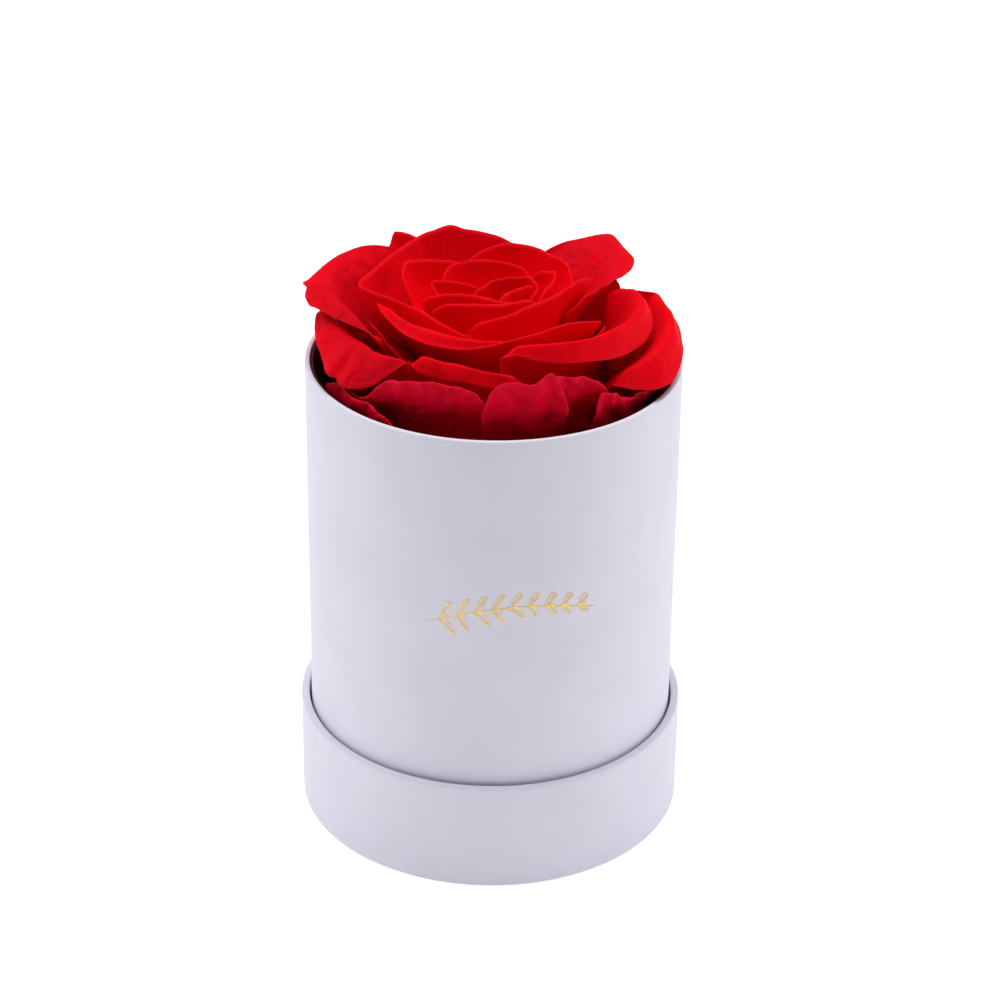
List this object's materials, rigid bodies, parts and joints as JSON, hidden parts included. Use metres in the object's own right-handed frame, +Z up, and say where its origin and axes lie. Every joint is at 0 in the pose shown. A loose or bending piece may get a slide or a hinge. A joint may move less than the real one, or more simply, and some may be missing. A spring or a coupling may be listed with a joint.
{
  "type": "rose in a box",
  "caption": "Preserved red rose head standing in a tall round white paper-covered gift box, with the box's lid set underneath as a plinth.",
  "frame": {"origin": "centre of the lid's flat underside, where the box stands", "axes": "+Z up along the box's axis, -Y towards the side the box is looked at from"},
  "size_m": [0.095, 0.095, 0.1428],
  "materials": {
    "white_paper": "matte",
    "black_paper": "matte",
    "grey_board": "matte",
    "dry_foam": "matte",
    "green_stem": "matte",
    "red_petal": "matte",
    "dark_petal": "matte"
  },
  "bodies": {
    "root": {"box_base": "grey_board", "box_tube": "white_paper", "foam_block": "dry_foam", "inner_lining": "black_paper", "lid_panel": "white_paper", "lid_wall": "white_paper", "petal_back_right_low": "red_petal", "petal_broad_back_right": "red_petal", "petal_guard_back": "dark_petal", "petal_guard_back_left": "dark_petal", "petal_guard_back_right": "dark_petal", "petal_guard_front": "dark_petal", "petal_guard_front_left": "dark_petal", "petal_guard_front_low": "dark_petal", "petal_guard_front_right": "dark_petal", "petal_guard_left": "dark_petal", "petal_guard_left_low": "dark_petal", "petal_guard_right": "dark_petal", "petal_guard_right_low": "dark_petal", "petal_heart_core": "red_petal", "petal_heart_curl": "red_petal", "petal_heart_front": "red_petal", "petal_heart_left": "red_petal", "petal_heart_right": "red_petal", "petal_inner_back": "red_petal", "petal_inner_front": "red_petal", "petal_inner_left": "red_petal", "petal_inner_right": "red_petal", "petal_middle_back": "red_petal", "petal_middle_back_low": "red_petal", "petal_middle_front": "red_petal", "petal_middle_left": "red_petal", "petal_outer_back_left": "red_petal", "petal_outer_front": "red_petal", "petal_outer_front_left": "red_petal", "petal_outer_front_right": "red_petal", "petal_outer_left": "red_petal", "petal_outer_right": "red_petal", "petal_shadow_front": "red_petal", "petal_shadow_left": "red_petal", "petal_shadow_right": "red_petal", "rose_hip": "green_stem", "sepal_1": "green_stem", "sepal_2": "green_stem", "sepal_3": "green_stem", "sepal_4": "green_stem", "sepal_5": "green_stem", "stem": "green_stem"}
  },
  "joints": []
}
